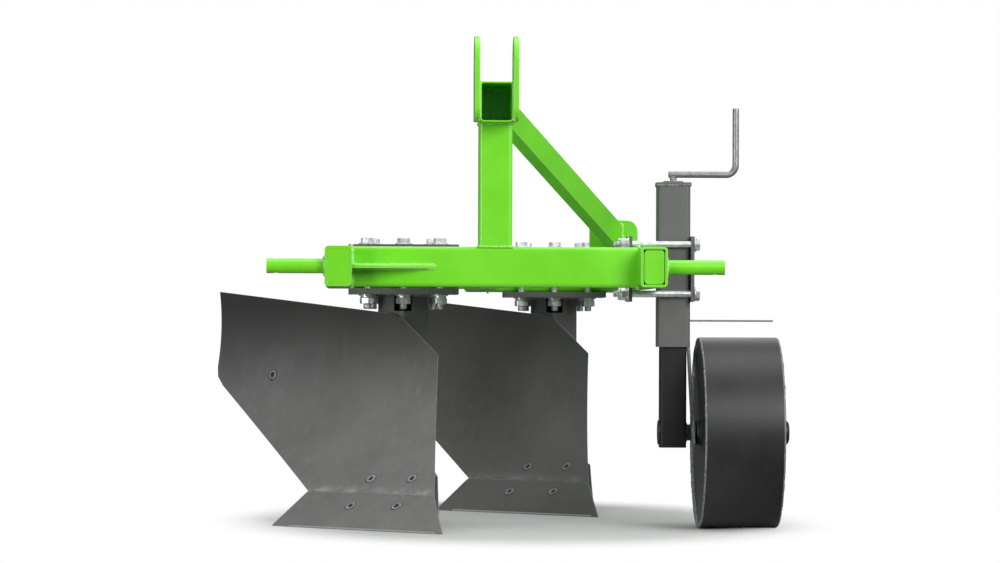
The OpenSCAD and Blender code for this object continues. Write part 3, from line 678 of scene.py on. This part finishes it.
class PLOUGH_OT_board_bolts(bpy.types.Operator):
    """Countersunk plough bolts in shares and boards with their nuts behind, and the shares' ground edges"""
    bl_idname = "plough.board_bolts"
    bl_label = "Plough bolts"

    def execute(self, context):
        size = context.scene.plough_fasteners.board_bolt / MM
        for side in SIDES:
            dark = bmesh.new()
            for i, (a, z) in enumerate(BOARD_BOLTS):
                point, normal = on_board(side, a, z)
                bm = bmesh.new()
                here = aim(point, normal, 0.6 + i)
                # the head's flat ring round its socket, then painted shade: a dark ring for the gap round the head
                # and a dark floor in the socket
                turned(bm, ((size * 0.84, -size * 0.3), (size * 0.84, 0.5), (size * 0.78, 1.0),
                            (size * 0.46, 1.0), (size * 0.42, 0.7), (size * 0.4, 0.3)), here, 32)
                turned(dark, ((size * 0.95, -size * 0.3), (size * 0.95, 0.25), (size * 0.9, 0.4)), here, 32)
                turned(dark, ((size * 0.44, -size * 0.3), (size * 0.44, 0.45), (size * 0.2, 0.5)), here, 12, 6)
                # behind board and frog: washer, nut and thread
                behind = aim(point - normal * (BOARD_T + FROG_T) * MM, -normal, 0.3 * i)
                turned(bm, ((size * 0.95, 0), (size, 0.6), (size, 1.5), (size * 0.95, 2)), behind, 28)
                turned(bm, hex_profile(size * 1.5, size * 0.8), behind @ Matrix.Translation((0, 0, 2)), 36, 6)
                turned(bm, thread_profile(size, size * 0.5, size + 8, size * PITCH), behind, 20)
                piece(f"{side}_plough_bolt_{i + 1}", bm, "grey_primer_rubbed_on_edge", "frame",
                      False)
            edge = bmesh.new()
            low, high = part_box(f"{side}_share")
            along = (high.x - low.x) / math.sin(SWEEP) / MM
            rows = [[edge.verts.new(on_board(side, along * i / GROUND_STEPS, z, -GROUND_OFF)[0]) for z in GROUND_Z]
                    for i in range(GROUND_FIRST, GROUND_LAST + 1)]
            for one, two in zip(rows, rows[1:]):
                edge.faces.new((one[0], two[0], two[1], one[1]))
            piece(f"{side}_share_ground_edge", edge, "share_steel_ground", "frame")
            # the plough bolts' dark rings and socket floors: painted shade
            piece(f"{side}_plough_bolt_sockets", dark, "steel_black_oxide_oiled", "frame", False)
        return {"FINISHED"}


class PLOUGH_OT_frame_welds(bpy.types.Operator):
    """Weld beads of the green frame, mast, brace and hitch pins"""
    bl_idname = "plough.frame_welds"
    bl_label = "Frame welds"

    def execute(self, context):
        r = context.scene.plough_fasteners.bead / MM
        joints = []
        for node, axis in (("front_beam", 0), ("front_cross", 0), ("rear_cross", 0), ("center_rail", 1)):
            low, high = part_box(node)
            for at in ((low[axis], high[axis]) if axis == 0 else (low[axis],)):
                joints.append(loop_round(low, high, axis, at))
        low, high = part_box("mast")
        joints += [loop_round(low, high, 2, z) for z in (low.z, high.z)]
        bm = bmesh.new()
        for i, path in enumerate(joints):
            # the beam's land end has no bead in front, where the rail's end stands close before it
            bead(bm, path, r if i < 2 else r * 0.6, i != 1, i * 3.1)
        low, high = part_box("front_beam")
        for seed in (1.0, 7.0):
            bead(bm, ((low.x, low.y, high.z - 0.001), (low.x, low.y, low.z + 0.001)), r * 1.2, False, seed)
        low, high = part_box("corner_gusset")
        for z in (low.z, high.z):
            bead(bm, ((low.x, high.y, z), (high.x - 0.004, high.y, z)), r * 0.8, False, z * 50)
            bead(bm, ((low.x, low.y + 0.002, z), (low.x, high.y, z)), r * 0.8, False, z * 90)
        for rail, pin, side in (("furrow_rail", "furrow_link_pin", 0), ("land_rail", "land_link_pin", 1)):
            centre = middle(pin)
            centre.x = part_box(rail)[side].x
            bead(bm, circle(centre, (0, 1, 0), (0, 0, 1), PIN_BEAD_R), r * 0.8, True, 4.0 + side)
        piece("frame_welds", bm, "green_enamel_on_arc_weld", "frame")

        bm = bmesh.new()
        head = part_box("mast_head")
        for node, side in (("furrow_clevis", 1), ("land_clevis", 0)):
            low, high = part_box(node)
            face, back = (low, high)[side].x, high.y
            nose, top, foot = head[0].y, head[1].z, low.z
            bead(bm, ((face, nose + 0.002, top - 0.001), (face, back, top - 0.001)), r * 0.9, False, face * 90)
            bead(bm, ((face, back, top - 0.003), (face, back, foot + 0.004)), r * 0.9, False, face * 70)
            bead(bm, ((face, nose + 0.001, foot + 0.001), (face, back, foot + 0.001)), r * 0.9, False, face * 50)
            bead(bm, ((face, nose, top - 0.002), (face, nose, foot + 0.003)), r * 0.5, False, face * 30)
        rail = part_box("land_rail")
        low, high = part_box("brace_lug")
        start = Vector(((head[0].x + head[1].x) / 2 + BRACE_START * MM, head[1].y, (head[0].z + head[1].z) / 2))
        end = Vector((rail[0].x - BRACE_END * MM, low.y, (low.z + high.z) / 2))
        run = (end - start).normalized()
        flat = Vector((-run.y, run.x, 0)).normalized()
        tall = run.cross(flat)
        for foot in (start, end):
            path = []
            for u, v in ((-1, -1), (1, -1), (1, 1), (-1, 1)):
                corner = foot + (flat * u * BRACE_HALF[0] + tall * v * BRACE_HALF[1]) * MM
                path.append(corner + run * ((foot.y - corner.y) / run.y))
            bead(bm, path, r * 0.85, True, foot.y * 9)
        for y in (low.y, high.y):
            bead(bm, ((rail[0].x + 0.003, y, low.z), (high.x - 0.002, y, low.z)), r, False, y * 40)
        piece("mast_and_brace_welds", bm, "green_enamel_on_arc_weld", "frame")
        return {"FINISHED"}


class PLOUGH_OT_body_welds(bpy.types.Operator):
    """Weld beads of the two plough bodies: leg to flange and ribs to leg"""
    bl_idname = "plough.body_welds"
    bl_label = "Body welds"

    def execute(self, context):
        r = context.scene.plough_fasteners.bead / MM
        back = Vector((math.cos(SWEEP), math.sin(SWEEP), 0))
        edge = Vector((-math.sin(SWEEP), math.cos(SWEEP), 0))
        wide, deep = LEG_W / 2, LEG_D / 2
        round_leg = ((NUT_CUT - wide, -deep), (wide, -deep), (wide, deep), (-wide, deep), (-wide, NUT_CUT - deep))
        for side in SIDES:
            low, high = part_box(f"{side}_top_plate")
            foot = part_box(f"{side}_leg")
            flange = foot[1].z - (high.z - low.z)
            centre = (low + high) / 2
            centre.z = flange
            bm = bmesh.new()
            bead(bm, [centre + (back * u + edge * v) * MM for u, v in round_leg], r, False, 2.0)
            top = (ARC_Z - FROG_T - RIB_BEAD_TOP) * MM
            for v in (-deep, deep - RIB_T, RIB_T - deep, deep):
                at = centre + (edge * v - back * wide) * MM
                bead(bm, ((at.x, at.y, foot[0].z + RIB_BEAD_FOOT * MM), (at.x, at.y, top)), r * 0.8, False, v)
            piece(f"{side}_body_welds", bm, "grey_primer_on_arc_weld", "frame")
        return {"FINISHED"}


class PLOUGH_OT_wheel_welds(bpy.types.Operator):
    """Weld beads of the depth wheel, its axle and the jack's cap"""
    bl_idname = "plough.wheel_welds"
    bl_label = "Wheel and jack welds"

    def execute(self, context):
        r = context.scene.plough_fasteners.bead / MM
        across, up = (0, 1, 0), (0, 0, 1)
        low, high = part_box("wheel")
        hub = middle("wheel")
        rim = (high.z - low.z) / 2 / MM
        bm, hub_weld = bmesh.new(), bmesh.new()
        for x, way in ((low.x + HUB_OVER * MM, 1), (high.x - HUB_OVER * MM, -1)):
            at = Vector((x + way * DISC_INSET * MM, hub.y, hub.z))
            bead(bm, circle(at, across, up, rim - WHEEL_T, 160), r * 0.85, True, x * 30)
            bead(hub_weld, circle(at, across, up, HUB_D / 2), r * 0.7, True, x * 60)
            sleeve = HUB_D / 2 + SLEEVE_OFF
            turned(hub_weld, ((HUB_D / 2 - SLEEVE_IN, 0), (sleeve, SLEEVE_OFF), (sleeve, HUB_OVER + DISC_INSET)),
                   aim(Vector((x - way * HUB_OVER * MM, hub.y, hub.z)), (way, 0, 0)), 48)
            edge = Vector((x + way * RIM_BEAD_IN * MM, hub.y, hub.z))
            bead(bm, circle(edge, across, up, rim - WHEEL_T / 2 + RIM_BEAD_OUT, 200), r * 0.62, True, x * 45)
        piece("wheel_welds", bm, "grey_primer_on_arc_weld", "wheel_body")
        piece("wheel_hub_sleeves", hub_weld, "steel_black_oxide_oiled", "wheel_body")

        bm = bmesh.new()
        axle = middle("wheel_axle")
        for x in (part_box("wheel_leg")[1].x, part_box("wheel_guard")[0].x):
            bead(bm, circle(Vector((x, axle.y, axle.z)), across, up, PIN_BEAD_R, 40), r * 0.7, True, x * 80)
        piece("axle_welds", bm, "grey_primer_on_arc_weld", "wheel_leg_body")
        bm = bmesh.new()
        inner_end = aim(Vector((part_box("wheel_leg")[0].x, axle.y, axle.z)), (-1, 0, 0))
        turned(bm, ((END_WASHER_R, 0), (END_WASHER_R, END_WASHER_T),
                    (END_WASHER_R - END_CHAMFER[0], END_WASHER_T + END_CHAMFER[1])), inner_end, 40)
        piece("axle_end_washer", bm, "grey_primer_on_wheel", "wheel_leg_body", False)
        bm = bmesh.new()
        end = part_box("wheel_axle")[1].x
        out = (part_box("wheel")[1].x - end) / MM - HUB_OVER + CAP_OVER
        cap = [(CAP_D / 2, 0)] + [(CAP_D / 2 - inward, out - back) for inward, back in CAP_ROUND]
        turned(bm, cap, aim(Vector((end, axle.y, axle.z)), (1, 0, 0)), 48)
        piece("axle_end_cap", bm, "steel_black_oxide_oiled", "wheel_leg_body")

        low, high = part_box("jack_tube")
        bm = bmesh.new()
        inset = Vector((JACK_BEAD_IN, JACK_BEAD_IN, 0)) * MM
        bead(bm, loop_round(low + inset, high - inset, 2, high.z - JACK_BEAD_DOWN * MM), r * 0.5, True, 6.0)
        piece("jack_cap_weld", bm, "grey_primer_on_arc_weld", "frame")
        return {"FINISHED"}


class PLOUGH_OT_stage(bpy.types.Operator):
    """Floor, soft studio light and the camera"""
    bl_idname = "plough.stage"
    bl_label = "Studio"

    def execute(self, context):
        studio = context.scene.plough_studio
        bm = bmesh.new()
        bmesh.ops.create_grid(bm, x_segments=12, y_segments=12, size=FLOOR_HALF)
        mesh = bpy.data.meshes.new("studio_floor")
        bm.to_mesh(mesh)
        bm.free()
        floor = bpy.data.objects.new("studio_floor", mesh)
        floor.location.z = -FLOOR_DROP
        context.collection.objects.link(floor)
        mesh.materials.append(floor_vinyl(context.scene.plough_finish.floor))
        world = bpy.data.worlds.new("white_room")
        context.scene.world = world
        world.use_nodes = True
        tree = world.node_tree
        tree.nodes.clear()
        # the room lights the plough softly, and is plain white where it is seen itself
        height = add(tree, "SeparateXYZ", {"Vector": add(tree, "TexCoord").outputs["Generated"]}).outputs["Z"]
        glow = add(tree, "MapRange", {"Value": height, "From Min": -0.25, "From Max": 0.4,
                                      "To Min": studio.surround * 0.2, "To Max": studio.surround})
        room = [add(tree, "Background", {"Color": (1, 1, 1, 1), "Strength": v}) for v in (glow.outputs[0], 1.0)]
        seen = add(tree, "LightPath").outputs["Is Camera Ray"]
        both = add(tree, "MixShader", {0: seen, 1: room[0].outputs[0], 2: room[1].outputs[0]})
        add(tree, "OutputWorld", {"Surface": both.outputs[0]})
        for name, place, size in LIGHTS:
            lamp = bpy.data.lights.new(f"{name}_light", "AREA")
            lamp.size, lamp.energy = size, getattr(studio, name)
            light = bpy.data.objects.new(f"{name}_light", lamp)
            light.location = place
            light.rotation_mode = "QUATERNION"
            light.rotation_quaternion = (LIGHT_AIM - Vector(place)).to_track_quat("-Z", "Y")
            context.collection.objects.link(light)
        lens = bpy.data.cameras.new("studio_camera")
        lens.sensor_width, lens.sensor_fit = 36, "HORIZONTAL"
        lens.lens = studio.focal / 1000 * lens.sensor_width
        lens.clip_end = 100
        camera = bpy.data.objects.new("studio_camera", lens)
        camera.location = ZERO + Vector(CAMERA_AT) * MM
        ahead = Vector((math.sin(PAN), math.cos(PAN), math.tan(TILT))).to_track_quat("-Z", "Y")
        camera.rotation_mode = "QUATERNION"
        camera.rotation_quaternion = ahead @ Quaternion((0, 0, 1), ROLL)
        context.collection.objects.link(camera)
        context.scene.camera = camera
        context.scene.view_settings.view_transform = "Standard"
        return {"FINISHED"}


class PLOUGH_PT_sidebar(bpy.types.Panel):
    """Steps and settings of the plough"""
    bl_label = "Plough"
    bl_idname = "PLOUGH_PT_sidebar"
    bl_space_type = "VIEW_3D"
    bl_region_type = "UI"
    bl_category = "Plough"

    def draw(self, context):
        for group in (context.scene.plough_finish, context.scene.plough_fasteners, context.scene.plough_studio):
            box = self.layout.box()
            for key in group.__annotations__:
                box.prop(group, key)
        for step in STEPS:
            self.layout.operator(step.bl_idname)


GROUPS = (("plough_finish", PloughFinish), ("plough_fasteners", PloughFasteners), ("plough_studio", PloughStudio))
STEPS = (PLOUGH_OT_finishes, PLOUGH_OT_clamp_bolts, PLOUGH_OT_jack_bolts, PLOUGH_OT_board_bolts,
         PLOUGH_OT_frame_welds, PLOUGH_OT_body_welds, PLOUGH_OT_wheel_welds, PLOUGH_OT_stage)


def register():
    for name, group in GROUPS:
        bpy.utils.register_class(group)
        setattr(bpy.types.Scene, name, bpy.props.PointerProperty(type=group))
    for step in STEPS + (PLOUGH_PT_sidebar,):
        bpy.utils.register_class(step)


def unregister():
    for step in reversed(STEPS + (PLOUGH_PT_sidebar,)):
        bpy.utils.unregister_class(step)
    for name, group in reversed(GROUPS):
        delattr(bpy.types.Scene, name)
        bpy.utils.unregister_class(group)


def main():
    register()
    for step in STEPS:
        space, name = step.bl_idname.split(".")
        getattr(getattr(bpy.ops, space), name)()


if __name__ == "__main__":
    main()
